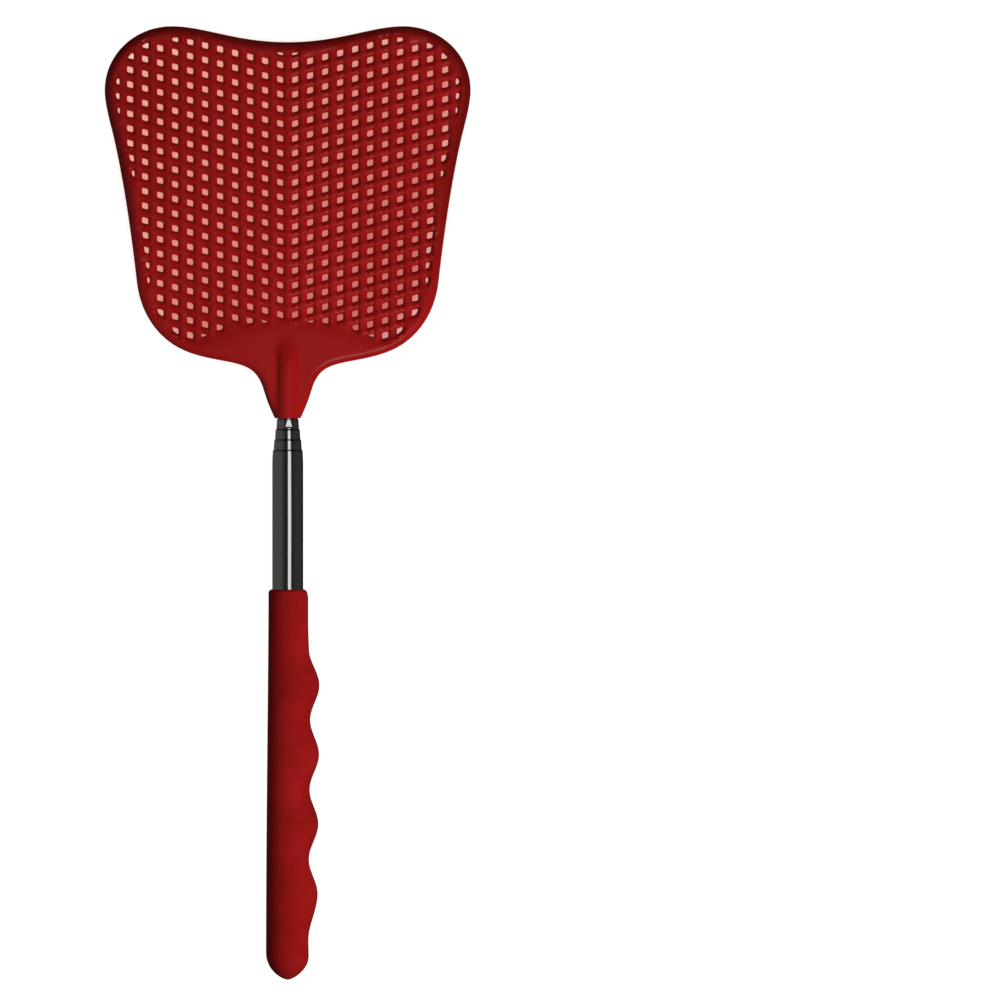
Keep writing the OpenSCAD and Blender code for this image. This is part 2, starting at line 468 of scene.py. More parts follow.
def press_flat(points, mouth, keep_out):
    """Flattens a wedge that widens downwards. A point on it moves in to the chord, where its radius is
    the tube's times cos(half) / cos(turn)."""
    radius = np.hypot(points[..., 0], points[..., 1])
    turn = np.arctan2(points[..., 1], points[..., 0]) - FLAT_TURN
    above_foot = points[..., 2] - (mouth - FLAT_LENGTH)
    share = np.clip(above_foot / FLAT_LENGTH, 0, 1)
    half = FLAT_FOOT_HALF + (FLAT_TOP_HALF - FLAT_FOOT_HALF) * share
    chord = radius * np.cos(half) / np.cos(turn)
    pressed = radius + (chord - radius) * smooth_step(-FLAT_RUN_OUT, 0, above_foot)
    pressed = np.maximum(pressed, np.minimum(radius, keep_out))
    scale = np.where(np.abs(turn) < half, pressed / radius, 1)
    return points * np.stack([scale, scale, np.ones_like(scale)], -1)


def make_tube(number):
    """Builds tube number as one closed surface of revolution and hides the plain tube of the frame."""
    low, high = box_mm(tube_names[number])
    next_outer = tube_radius(number + 1) if number + 1 in tube_names else None
    outline = tube_outline(low[2], high[2], tube_radius(number), next_outer, number > 1)
    points = turn_outline(outline[:, 0], outline[:, 1], TUBE_AROUND)
    if number == FLAT_TUBE:
        points = press_flat(points, high[2], next_outer + RUN_GAP)
    faces = grid_faces(len(outline), TUBE_AROUND, close_rows=True)
    name = f"{tube_names[number]}_polished"
    tube = make_mesh(name, points.reshape(-1, 3), faces.tolist(), sharp_over=50)
    tube.data.materials.append(tube_steel)
    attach(tube, tube_body[number])
    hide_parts(tube_names[number])
    return tube


tubes = [make_tube(number) for number in tube_names]

# %% [markdown]
# ## The grip
# The grip is a soft moulded sleeve, round at the back and rippled at the front, where the fingers lie.
# Each ring of the sleeve is a circle whose front is pushed out by a bump. The push is largest straight
# ahead and dies away round the sides, and along the pole it rises and falls as a cosine.

# %% Shape the grip
GRIP_FOOT_R = 6.25
GRIP_TOP_R = 5.5
TAPER_POWER = 1.2
BUTT_HEIGHT = 8.0
BUTT_ROUND = 0.62
BUTT_POWER = 2.4
BUMPS = 4
BUMP_PITCH = 20.05
FIRST_BUMP = 24.7
LAST_BUMP = FIRST_BUMP + (BUMPS - 1) * BUMP_PITCH
FOOT_FLANK = 13.5
TOP_FLANK = 18.0
BUMP_REACH = 7.3
BUMP_REACH_GAIN = 0.55
TOP_REACH_LOSS = 0.6
BUMP_RISE = 1.3
FRONT_POWER = 3.2
SHOULDER = 0.95
PUSH_END = 1.5
GRIP_AROUND = 112
BORE_GAP = 0.01


def grip_back(height):
    """Radius of the back of the grip: a slow taper, an ogee butt and a rounded top edge."""
    top = grip_high[2]
    taper = GRIP_FOOT_R + (GRIP_TOP_R - GRIP_FOOT_R) * smooth_step(0, top * 1.1, height) ** TAPER_POWER
    low = np.clip(height / BUTT_HEIGHT, 0, 1)
    pointed = 1 - (1 - low) ** BUTT_POWER
    butt = (BUTT_ROUND * np.sqrt(1 - (1 - low) ** 2) + (1 - BUTT_ROUND) * pointed) * taper
    over = np.clip((height - (top - SHOULDER)) / SHOULDER, 0, 1)
    return butt - SHOULDER * (1 - np.sqrt(1 - over ** 2))


def finger_push(height):
    """Push of the front past the back: a cosine over the bumps, stopped in the valleys below and above."""
    wave = (height - FIRST_BUMP) / (BUMP_PITCH / 2)
    below = np.clip((height - FIRST_BUMP) / FOOT_FLANK, -1, 0)
    turn = np.where(wave < 0, below, np.minimum(wave, 2 * BUMPS - 1))
    mean = BUMP_REACH + BUMP_REACH_GAIN * smooth_step(FIRST_BUMP - FOOT_FLANK, LAST_BUMP, height)
    mean = mean - TOP_REACH_LOSS * smooth_step(LAST_BUMP, LAST_BUMP + TOP_FLANK, height)
    clear_of_butt = smooth_step(2, FIRST_BUMP - FOOT_FLANK, height)
    return (mean + BUMP_RISE * np.cos(np.pi * turn) - grip_back(height)) * clear_of_butt


def make_grip():
    """Rings of the sleeve up the outside, over the top edge and down the bore to the end of the tube."""
    foot, top = grip_low[2], grip_high[2]
    rise = foot + np.concatenate([
        BUTT_HEIGHT * (1 - np.cos(np.linspace(0.02, np.pi / 2, 26))),
        np.linspace(BUTT_HEIGHT, top - SHOULDER, 230)[1:],
        top - SHOULDER + SHOULDER * np.sin(np.linspace(0, np.pi / 2, 9))[1:]])
    angle = np.linspace(0, 2 * np.pi, GRIP_AROUND, endpoint=False)
    front = ((1 + np.cos(angle)) / 2) ** FRONT_POWER
    push = finger_push(rise) * (1 - smooth_step(top - SHOULDER - PUSH_END, top, rise))
    radius = grip_back(rise)[:, None] + push[:, None] * front
    tube_foot = box_mm("outer_tube")[0][2]
    bore_rise = np.array([top - 0.25, top - 2, tube_foot])
    radius = np.vstack([radius, np.full((len(bore_rise), GRIP_AROUND), tube_radius(1) + BORE_GAP)])
    rise = np.concatenate([rise, bore_rise])
    points = turn_outline(radius, rise, GRIP_AROUND).reshape(-1, 3)
    ends = [[0, 0, foot], [0, 0, tube_foot]]
    faces = grid_faces(len(rise), GRIP_AROUND).tolist()
    last = len(points) - GRIP_AROUND
    ring = np.arange(GRIP_AROUND)
    following = (ring + 1) % GRIP_AROUND
    faces += np.stack([following, ring, np.full(GRIP_AROUND, len(points))], -1).tolist()
    faces += np.stack([last + ring, last + following, np.full(GRIP_AROUND, len(points) + 1)], -1).tolist()
    grip = make_mesh("grip_sleeve", np.vstack([points, ends]), faces, sharp_over=50)
    grip.data.materials.append(grip_rubber)
    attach(grip, "handle")
    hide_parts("grip")
    return grip


grip_sleeve = make_grip()

# %% [markdown]
# ## The head: its outline
# The head is one flat moulding with two round lobes, slightly hollow sides and a throat that sweeps down
# to the neck. Its right half is seven cubic curves, end to end, and the left half is their mirror image.
# Heights are above the mouth of the neck.

# %% Draw the outline of the head
HALF = head_high[0]
LOBE = head_high[2] - head_low[2]
NECK_R = 3.7
NECK_Z = head_low[2]
CURVE_STEPS = 18
OUTLINE_CURVES = np.array([
    [[0, 108.3], [15, 108.3], [24, LOBE], [HALF - 19.3, LOBE]],
    [[HALF - 19.3, LOBE], [HALF - 8.6, LOBE], [HALF, 104.7], [HALF, 94.5]],
    [[HALF, 94.5], [HALF, 90.3], [HALF - 1.7, 84.8], [HALF - 2.8, 80.1]],
    [[HALF - 2.8, 80.1], [HALF - 5.7, 67.1], [HALF - 7.7, 52.8], [HALF - 9.2, 39.8]],
    [[HALF - 9.2, 39.8], [HALF - 10.1, 30.3], [37.4, 22.8], [29.8, 19.5]],
    [[29.8, 19.5], [21.5, 15.9], [12.6, 17], [9.2, 12.7]],
    [[9.2, 12.7], [6.5, 9.3], [7.4, 7.4], [NECK_R, 0]]])


def cubic(curve, t):
    """Point at t on the cubic curve of corners a, b, c, d: u³a + 3u²tb + 3ut²c + t³d, with u = 1 - t."""
    a, b, c, d = curve[:, None]
    t = t[:, None]
    u = 1 - t
    return u ** 3 * a + 3 * u * u * t * b + 3 * u * t * t * c + t ** 3 * d


steps_along = np.linspace(0, 1, CURVE_STEPS, endpoint=False)
right_half = np.vstack([cubic(curve, steps_along) for curve in OUTLINE_CURVES] + [[[NECK_R, 0]]])
print("outline points on one side:", len(right_half))

# %% [markdown]
# ## The head: where is a point?
# Everything on the head depends on two distances: how far a point is from the outline, and how far it is
# inside the pierced field. With both, the rim, the recess and the holes can be written as formulas.

# %% Measure distances on the head
RIM_WIDTH = 2.8
FIELD_STEP = -0.25
ARCH_TOP = 27.6
ARCH_R = 68.0


def edge_distance(points):
    """Distance from each point to the nearest stretch of the outline, with the left half folded over."""
    folded = np.column_stack([np.abs(points[:, 0]), points[:, 1]])
    start, along = right_half[:-1], np.diff(right_half, axis=0)
    nearest = np.empty(len(points))
    for part in np.array_split(np.arange(len(points)), max(1, len(points) // 4000)):
        offset = folded[part, None] - start
        share = np.clip((offset * along).sum(-1) / (along ** 2).sum(-1), 0, 1)
        nearest[part] = np.linalg.norm(offset - share[..., None] * along, axis=-1).min(1)
    return nearest


def above_arch(points):
    """Distance from each point to the arch of the shoulder, positive above it."""
    return np.hypot(points[:, 0], points[:, 1] - (ARCH_TOP - ARCH_R)) - ARCH_R


def field_depth(points, distance=None):
    """How far a point is inside the pierced field: past the rim, and above the arch of the shoulder."""
    if distance is None:
        distance = edge_distance(points)
    return np.minimum(distance - RIM_WIDTH, above_arch(points))


def inside_loop(points, start):
    """True where a line from the point to the right crosses a closed loop an odd number of times. start is
    one loop for all the points, or one for each."""
    end = np.roll(start, -1, axis=-2)
    x, z = points[:, :1], points[:, 1:]
    spans = (start[..., 1] > z) != (end[..., 1] > z)
    rise = np.where(end[..., 1] == start[..., 1], 1, end[..., 1] - start[..., 1])
    crossing = start[..., 0] + (z - start[..., 1]) * (end[..., 0] - start[..., 0]) / rise
    return (spans & (x < crossing)).sum(1) % 2 == 1


def inside_outline(points):
    """True inside the outline of the head."""
    return inside_loop(points, np.vstack([right_half, right_half[::-1] * [-1, 1]]))


# %% [markdown]
# ## The head: the holes
# The holes stand in upright columns, and their rows rise outwards from the middle, so the blade has a row
# of V shapes. One hole is a parallelogram with rounded corners. The ones at the border are cut short by
# the rim and by the arch, so each corner is drawn back towards the middle of its hole until it is in the
# field. A hole with only a small part in the field is left out.

# %% Lay out the holes
COLUMN_PITCH = 4.32
ROW_PITCH = 4.23
ROW_SLOPE = 0.26
FIRST_ROW = -0.3
COLUMNS = 12
ROWS = 26
HOLE_HALF = 1.52
CORNER_POWER = 6
RING = 12
LEAST_PART = 0.16
WHOLE_PART = 0.99
PART_STEPS = 9
REACH_STEPS = 41


def slanted_grid(x_values, z_values, slope=0.0):
    """All the points (x, z + slope * x), column by column."""
    x, z = np.meshgrid(x_values, z_values, indexing="ij")
    return np.column_stack([x.ravel(), (z + slope * x).ravel()])


def spokes(middle, ring, steps):
    """Shares from 0 to 1, and the points at those shares of the way from each middle to its ring."""
    share = np.linspace(0, 1, steps)
    return share, middle[:, None, None] + share[:, None] * (ring - middle[:, None])[:, :, None]


def rounded_square():
    """Twelve points of |x|^6 + |y|^6 = 1: two on each side and one in each corner."""
    corner = np.radians([-28.8, 28.8, 45.0])
    angle = (corner + np.radians([[0], [90], [180], [270]])).ravel()
    across, up = np.abs(np.cos(angle)), np.abs(np.sin(angle))
    reach = (across ** CORNER_POWER + up ** CORNER_POWER) ** (-1 / CORNER_POWER)
    return np.column_stack([reach * np.cos(angle), reach * np.sin(angle)])


def lay_out_holes():
    """Middle and ring of each hole on the right half, drawn in where the field ends."""
    column, row = np.arange(COLUMNS), np.arange(ROWS)
    middle = slanted_grid((column + 0.5) * COLUMN_PITCH, FIRST_ROW + row * ROW_PITCH, ROW_SLOPE)
    shape = rounded_square() * HOLE_HALF
    shape = shape + np.column_stack([np.zeros(RING), ROW_SLOPE * shape[:, 0]])
    ring = middle[:, None] + shape
    near = inside_outline(ring.reshape(-1, 2)).reshape(-1, RING).any(1)
    middle, ring = middle[near], ring[near]
    share, fan = spokes(middle, ring, PART_STEPS)
    flat = fan.reshape(-1, 2)
    good = (field_depth(flat) > 0) & inside_outline(flat)
    good = good.reshape(fan.shape[:3])
    part = good.mean((1, 2))
    weight = good[..., None] * share[:, None]
    centre = (fan * weight).sum((1, 2)) / np.maximum(weight.sum((1, 2)), 1e-9)
    kept = part > LEAST_PART
    middle = np.where(part[kept, None] > WHOLE_PART, middle[kept], centre[kept])
    ring = ring[kept]
    share, fan = spokes(middle, ring, REACH_STEPS)
    good = (field_depth(fan.reshape(-1, 2)) >= 0).reshape(fan.shape[:3])
    reach = share[np.clip(np.cumprod(good, axis=2).sum(2) - 1, 2, None)]
    return middle, middle[:, None] + (ring - middle[:, None]) * reach[..., None]


right_middle, right_rings = lay_out_holes()
hole_middle = np.vstack([right_middle, right_middle * [-1, 1]])
hole_ring = np.vstack([right_rings, right_rings[:, ::-1] * [-1, 1]])
print("holes:", len(hole_middle))

# %% [markdown]
# ## The head: the height of its surface
# The front is one height for every place on the blade. The rim is rounded at its edge, the field lies a
# little lower, and ridges run along the V rows between the holes. Lower down the flat fan thickens
# towards the round boss of the neck, and a soft maximum blends the two.

# %% Work out the height of the surface
RIM_THICK = 1.22
RIM_ROUND = 2.7
FIELD_THICK = 0.72
RIDGE_RISE = 0.45
BAR_RISE = 0.12
BACK_FIELD = 0.8
NECK_FROM = 4.0
NECK_TO = 28.0
NECK_SWELL = 0.7
NECK_SHARPER = 1.3
BOSS_TOP_R = 3.3
BOSS_FADE_FROM = 14.0
BOSS_FADE_TO = 29.0
BLEND = 0.5
BLEND_FULL = 1.5
ARCH_SLOPE = 2.4
ARCH_LANDING = 0.4


def ridge(points):
    """1 on the line between two rows of holes and 0 on the row itself, with a rounded crest."""
    row = (points[:, 1] - FIRST_ROW - ROW_SLOPE * np.abs(points[:, 0])) / ROW_PITCH
    away = np.abs(row - np.floor(row) - 0.5) * 2
    return 1 - smooth_step(0.0, 0.3, away)


def bar(points):
    """1 on the upright line between two columns of holes and 0 in a column."""
    column = np.abs(points[:, 0]) / COLUMN_PITCH
    away = np.abs(column - np.round(column)) * 2
    return 1 - smooth_step(0.05, 0.45, away)


def surface_height(points, distance, front):
    """Half thickness of the head at each point: rounded edge, recessed field, ridges and round boss."""
    x, z = points[:, 0], points[:, 1]
    neck = 1 - smooth_step(NECK_FROM, NECK_TO, z)
    thick = RIM_THICK + neck * NECK_SWELL
    reach = RIM_ROUND - neck * NECK_SHARPER
    square = 1 - (1 - np.clip(distance / reach, 0, 1)) ** 2
    flat = thick * (0.5 * np.sqrt(square) + 0.5 * square)
    inside = smooth_step(FIELD_STEP, 0.0, distance - RIM_WIDTH)
    inside = inside * smooth_step(-ARCH_SLOPE, ARCH_LANDING, above_arch(points))
    field = np.full(len(points), BACK_FIELD)
    if front:
        field = FIELD_THICK + np.maximum(RIDGE_RISE * ridge(points), BAR_RISE * bar(points))
    flat = flat * (1 - inside) + field * inside
    boss_r = NECK_R + (BOSS_TOP_R - NECK_R) * smooth_step(0, BOSS_FADE_FROM, z)
    boss = np.sqrt(np.clip(boss_r ** 2 - x ** 2, 0, None))
    boss = boss * (1 - smooth_step(BOSS_FADE_FROM, BOSS_FADE_TO, z))
    soft = BLEND * np.clip(distance / BLEND_FULL, 0, 1)
    return (flat + boss + np.sqrt((flat - boss) ** 2 + soft ** 2)) / 2


# %% [markdown]
# ## The head: joining it up
# The flat map of the head is cut into triangles once, round every hole. The front and the back use the
# same map at their own heights, and they meet at the outline. Rings of faces then line each hole like a
# funnel, wide at the front and narrow at the middle, and the neck gets its socket. A number kept on each
# point says how near the rim it is and how high, and a painted shade darkens the rim of the upper lobes.

# %% Collect the points of the flat map
def shifted_in(chain, amount):
    """Each inner point of a chain moved square to the chain, towards the inside of the head."""
    along = chain[2:] - chain[:-2]
    square = np.column_stack([along[:, 1], -along[:, 0]]) / np.linalg.norm(along, axis=1)[:, None]
    return chain[1:-1] + amount * square


def keep_clear(points, chain_points, gap):
    """The points that are at least gap away from every point of a chain."""
    near = np.linalg.norm(points[:, None] - chain_points, axis=-1).min(1)
    return points[near > gap]


def ridge_points():
    """Points along each ridge and in the middle of each bar, on the right half and the middle line."""
    step = np.arange(0, COLUMNS * 2 + 1) * COLUMN_PITCH / 2
    row = np.arange(ROWS + 1)
    crest = slanted_grid(step, FIRST_ROW + (row - 0.5) * ROW_PITCH, ROW_SLOPE)
    upright = slanted_grid(step[::2], FIRST_ROW + row * ROW_PITCH, ROW_SLOPE)
    return np.vstack([crest, upright])


EDGE_STEPS = (0.1, 0.32, 0.7, 1.25, 2.0)
BORDER_GAP = 0.3
SHOULDER_STEP = 1.1
BOSS_STEPS = (0.45, 0.8)
BOSS_GAP = 0.6
HOLE_MARGIN = 0.02


def border_chain():
    """The line just outside the pierced field: along the inside of the rim, then along the arch."""
    sides = shifted_in(right_half[:CURVE_STEPS * 5], RIM_WIDTH + FIELD_STEP)
    arch_r = ARCH_R + FIELD_STEP
    sides = sides[above_arch(sides) - FIELD_STEP > BORDER_GAP]
    turn = np.radians(np.linspace(0, 40, 60))
    arch = np.column_stack([arch_r * np.sin(turn), ARCH_TOP - ARCH_R + arch_r * np.cos(turn)])
    arch = arch[inside_outline(arch)]
    arch = arch[edge_distance(arch) > RIM_WIDTH + FIELD_STEP + BORDER_GAP]
    return np.vstack([sides, arch[::-1]])


def flat_map_points():
    """The loose points of the flat map on the right half: edge steps, border, ridges and the shoulder."""
    rims = np.vstack([shifted_in(right_half, step) for step in EDGE_STEPS])
    rims = rims[(rims[:, 1] > 0.4) & (rims[:, 0] > 0.15)]
    rims = rims[edge_distance(rims) > 0.08]
    steps = np.array([*EDGE_STEPS, RIM_WIDTH + FIELD_STEP])
    top_middle = np.column_stack([np.zeros(len(steps)), right_half[0, 1] - steps])
    border = np.vstack([border_chain(), top_middle])
    lattice = ridge_points()
    lattice = lattice[inside_outline(lattice)]
    lattice = lattice[field_depth(lattice) > 0.15]
    shoulder = slanted_grid(np.arange(0, 45, SHOULDER_STEP), np.arange(1, 28, SHOULDER_STEP))
    boss = slanted_grid(np.arange(0, 4.5, BOSS_STEPS[0]), np.arange(0.5, 26, BOSS_STEPS[1]))
    loose = np.vstack([boss, keep_clear(shoulder, boss, BOSS_GAP)])
    loose = loose[inside_outline(loose)]
    distance = edge_distance(loose)
    loose = loose[(distance > 2.3) & (field_depth(loose, distance) < FIELD_STEP - 0.5)]
    return np.vstack([rims, border, lattice, loose])


right_points = flat_map_points()
in_hole = np.zeros(len(right_points), dtype=bool)
for part in np.array_split(np.arange(len(right_points)), 8):
    nearest = np.linalg.norm(right_points[part, None] - right_middle, axis=-1).argmin(1)
    corner = right_rings[nearest] - right_points[part, None]
    following = np.roll(corner, -1, axis=1)
    turning = corner[..., 0] * following[..., 1] - corner[..., 1] * following[..., 0]
    in_hole[part] = (turning > -HOLE_MARGIN).all(1)
right_points = right_points[~in_hole]
left_points = right_points[right_points[:, 0] > 0.01] * [-1, 1]
print("points of the flat map:", len(right_points) + len(left_points))

# %% Cut the flat map into triangles
neck_turn = np.linspace(0, np.pi, 25)[1:-1]
neck_edge = np.column_stack([NECK_R * np.cos(neck_turn), np.zeros(len(neck_turn))])
outline_loop = np.vstack([right_half, neck_edge, (right_half[::-1] * [-1, 1])[:-1]])
ring_points = hole_ring.reshape(-1, 2)
flat_points = np.vstack([outline_loop, ring_points, right_points, left_points])
loop_index = np.arange(len(outline_loop))
loop_edges = np.column_stack([loop_index, np.roll(loop_index, -1)])
ring_index = len(outline_loop) + np.arange(len(ring_points)).reshape(-1, RING)
ring_edges = np.stack([ring_index, np.roll(ring_index, -1, axis=1)], -1).reshape(-1, 2)
cut = delaunay_2d_cdt([Vector(p) for p in flat_points.tolist()],
                      np.vstack([loop_edges, ring_edges]).tolist(), [], 0, 1e-7)
cut_points = np.array([tuple(v) for v in cut[0]])
triangles = np.array(cut[2])
source = np.array([origin[0] if origin else -1 for origin in cut[3]])
renumber = np.full(len(flat_points), -1)
renumber[source[source >= 0]] = np.flatnonzero(source >= 0)
print("cut points:", len(cut_points), "of", len(flat_points), "triangles:", len(triangles))

# %% Keep the triangles that are plastic
ring_number = source[triangles] - len(outline_loop)
on_ring = (ring_number >= 0) & (ring_number < len(ring_points))
hole_of = np.where(on_ring, ring_number // RING, -1 - np.arange(3))
in_one_hole = (hole_of[:, 0] == hole_of[:, 1]) & (hole_of[:, 1] == hole_of[:, 2])
own_ring = hole_ring[np.where(in_one_hole, hole_of[:, 0], 0)]
open_air = in_one_hole & inside_loop(cut_points[triangles].mean(1), own_ring)
triangles = triangles[~open_air]
triangles = triangles[inside_outline(cut_points[triangles].mean(1))]
side_a = cut_points[triangles[:, 1]] - cut_points[triangles[:, 0]]
side_b = cut_points[triangles[:, 2]] - cut_points[triangles[:, 0]]
flipped = side_a[:, 0] * side_b[:, 1] - side_a[:, 1] * side_b[:, 0] < 0
triangles[flipped] = triangles[flipped][:, ::-1]
print("triangles kept:", len(triangles))

# %% Raise the front and the back, line the holes and close the neck
FUNNEL = ((0.8, -0.52), (0.56, -0.14), (0.84, 0.7))
SOCKET_R = 2.92
SOCKET_DEPTH = 15.0
SOCKET_BEVEL = 0.25
# Painted shade of the rim: how far in from the edge it reaches, the heights where it grows, and what stays
# low down.
RIM_SHADE_REACH = (0.6, 4.2)
RIM_SHADE_HEIGHT = (25, 80)
RIM_SHADE_LEAST = 0.12


def rim_painted_shade(points, distance):
    """Painted shade of the rim: 1 at the edge of the lobes, 0 where the rim meets the field, and fading
    down towards the neck.
    """
    upwards = RIM_SHADE_LEAST + (1 - RIM_SHADE_LEAST) * smooth_step(*RIM_SHADE_HEIGHT, points[:, 1])
    return (1 - smooth_step(*RIM_SHADE_REACH, distance)) * upwards


def build_head():
    """Front and back sheets from one map, funnel rings in each hole, and a socket bored up the neck.
    Returns the points, blocks of faces and the painted rim shade of each point."""
    distance = edge_distance(cut_points)
    on_outline = source < len(right_half)
    on_outline |= (source >= len(right_half) + len(neck_edge)) & (source < len(outline_loop))
    on_outline &= source >= 0
    distance[on_outline] = 0
    front_y = -surface_height(cut_points, distance, True)
    back_y = surface_height(cut_points, distance, False)
    front_y[on_outline] = 0
    count = len(cut_points)
    front = np.column_stack([cut_points[:, 0], front_y, cut_points[:, 1] + NECK_Z])
    back = np.column_stack([cut_points[:, 0], back_y, cut_points[:, 1] + NECK_Z])
    back_of = np.where(on_outline, np.arange(count), np.arange(count) + count)
    faces = [triangles, back_of[triangles][:, ::-1]]

    rings = renumber[ring_index]
    centre = hole_middle[:, None]
    stacked = [rings]
    first = 2 * count
    extra = []
    for size, y in FUNNEL:
        flat = centre + (cut_points[rings] - centre) * size
        level = np.dstack([flat[..., 0], np.full(flat.shape[:2], y), flat[..., 1] + NECK_Z])
        extra.append(level.reshape(-1, 3))
        stacked.append(first + np.arange(rings.size).reshape(rings.shape))
        first += rings.size
    stacked.append(back_of[rings])
    for upper, lower in zip(stacked[:-1], stacked[1:]):
        quads = np.stack([upper, np.roll(upper, -1, 1), np.roll(lower, -1, 1), lower], -1)
        faces.append(quads.reshape(-1, 4))

    ends = renumber[[len(right_half) - 1, len(right_half) + len(neck_edge)]]
    edge = renumber[len(right_half) + np.arange(len(neck_edge))]
    loop = np.concatenate([ends[:1], edge, ends[1:], back_of[edge[::-1]]])
    points = np.vstack([front, back])[loop]
    angle = np.arctan2(points[:, 1], points[:, 0])
    socket = []
    for wide, height in ((SOCKET_R + SOCKET_BEVEL, 0), (SOCKET_R, SOCKET_BEVEL), (SOCKET_R, SOCKET_DEPTH)):
        level = np.full(len(loop), NECK_Z + height)
        socket.append(np.column_stack([wide * np.cos(angle), wide * np.sin(angle), level]))
    rows = [loop] + [first + k * len(loop) + np.arange(len(loop)) for k in range(len(socket))]
    for lower, upper in zip(rows[:-1], rows[1:]):
        faces.append(np.stack([lower, np.roll(lower, -1), np.roll(upper, -1), upper], -1))
    cap = first + len(socket) * len(loop)
    faces.append(np.stack([rows[-1], np.roll(rows[-1], -1), np.full(len(loop), cap)], -1))
    points = np.vstack([front, back, *extra, *socket, [[0, 0, NECK_Z + SOCKET_DEPTH]]])
    # Painted shade of the rim, kept on each point of the front and the back.
    rim_shade_values = np.zeros(len(points))
    rim_shade_values[:2 * count] = np.tile(rim_painted_shade(cut_points, distance), 2)
    return points, faces, rim_shade_values


head_points, head_faces, head_rim_shade = build_head()
used = np.zeros(len(head_points), dtype=bool)
used[np.concatenate([block.ravel() for block in head_faces])] = True
new_number = np.cumsum(used) - 1
joined_faces = sum([new_number[block].tolist() for block in head_faces], [])
head = make_mesh("swatter_head_moulded", head_points[used], joined_faces, sharp_over=42)
head.data.materials.append(head_plastic)
# The point attribute that the plastic reads for its painted rim shade.
rim_shade_layer = head.data.attributes.new(RIM_SHADE_ATTRIBUTE, "FLOAT", "POINT")
rim_shade_layer.data.foreach_set("value", head_rim_shade[used].astype(np.float32))
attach(head, "section_5")
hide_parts("swatter_head")

# %% [markdown]
# ## The studio
# A pale floor, a pale sheet of paper close behind the swatter, and a few soft lights. The paper behind
# the blade gets a painted warm shade, deeper at the lower right: ambient occlusion finds where the blade
# lies close over it, in every pose. Polished metal shows only what is round it, so reflections see a dark
# room. Three soft lights shine on the tubes alone, one in front and a little to the right, one behind and
# a weak one low at the right, and they draw the bright lines down the tubes.

# %% Pale paper for the floor and the backdrop
def paper_shade(tree, upper_left, lower_right):
    """Colour of paper in shade: one tone at the upper left, a deeper one at the lower right, by x - z."""
    place = tree.nodes.new("ShaderNodeTexCoord").outputs["Object"]
    slant = tree.nodes.new("ShaderNodeVectorMath")
    slant.operation = "DOT_PRODUCT"
    slant.inputs[1].default_value = (1.0, 0.0, -1.0)
    fall = add_range(tree, -0.31, -0.15)
    tree.links.new(place, slant.inputs[0])
    tree.links.new(slant.outputs["Value"], fall.inputs["Value"])
    return mix_tones(tree, fall.outputs[0], upper_left, lower_right)


def beside_pole(tree, low, high):
    """1 below low, where the paper beside the pole and the grip stays clear, and 0 above high."""
    place = tree.nodes.new("ShaderNodeTexCoord").outputs["Object"]
    split = tree.nodes.new("ShaderNodeSeparateXYZ")
    fade = add_range(tree, low * MM, high * MM, 1.0, 0.0)
    tree.links.new(place, split.inputs[0])
    tree.links.new(split.outputs["Z"], fade.inputs["Value"])
    return fade.outputs[0]


WHITE = (1.02, 1.02, 1.02)
MATT = (0.14, 0.14, 0.14, 1)
SHADE_FROM = (174, 184)


def mix_shaders(tree, factor, first, second):
    """The first shader where the factor is 0 and the second where it is 1."""
    mix = tree.nodes.new("ShaderNodeMixShader")
    for socket, source in zip(mix.inputs, (factor, first, second)):
        tree.links.new(source, socket)
    return mix.outputs[0]


def make_paper(name, shades, reach, low, high, reflected):
    """Pale paper: white where it is open, with a painted shade where something is within reach, plain grey
    in bounced light, and clear to reflections, to the lights and from behind."""
    material = bpy.data.materials.new(name)
    material.use_nodes = True
    tree = material.node_tree
    tree.nodes.clear()
    link = tree.links.new
    path = tree.nodes.new("ShaderNodeLightPath")
    matt = tree.nodes.new("ShaderNodeBsdfDiffuse")
    set_inputs(matt, Color=MATT)
    near = tree.nodes.new("ShaderNodeAmbientOcclusion")
    near.samples = 12
    set_inputs(near, Distance=reach * MM)
    open_air = add_range(tree, low, high)
    clear_air = add_math(tree, "MAXIMUM")
    link(near.outputs["AO"], open_air.inputs["Value"])
    link(open_air.outputs[0], clear_air.inputs[0])
    link(beside_pole(tree, *SHADE_FROM), clear_air.inputs[1])
    tint = mix_tones(tree, clear_air.outputs[0], (0, 0, 0), WHITE)
    link(paper_shade(tree, *shades), tint.node.inputs[6])
    shine = tree.nodes.new("ShaderNodeEmission")
    link(tint, shine.inputs["Color"])
    grey = tree.nodes.new("ShaderNodeEmission")
    set_inputs(grey, Strength=reflected)
    lit = tree.nodes.new("ShaderNodeAddShader")
    link(shine.outputs[0], lit.inputs[0])
    link(matt.outputs[0], lit.inputs[1])
    seen = mix_shaders(tree, path.outputs["Is Camera Ray"], grey.outputs[0], lit.outputs[0])
    back = tree.nodes.new("ShaderNodeNewGeometry")
    clear = tree.nodes.new("ShaderNodeBsdfTransparent")
    unseen, either = add_math(tree, "MAXIMUM"), add_math(tree, "MAXIMUM")
    link(path.outputs["Is Glossy Ray"], unseen.inputs[0])
    link(path.outputs["Is Shadow Ray"], unseen.inputs[1])
    link(back.outputs["Backfacing"], either.inputs[0])
    link(unseen.outputs[0], either.inputs[1])
    out = tree.nodes.new("ShaderNodeOutputMaterial")
    link(mix_shaders(tree, either.outputs[0], seen, clear.outputs[0]), out.inputs["Surface"])
    return material


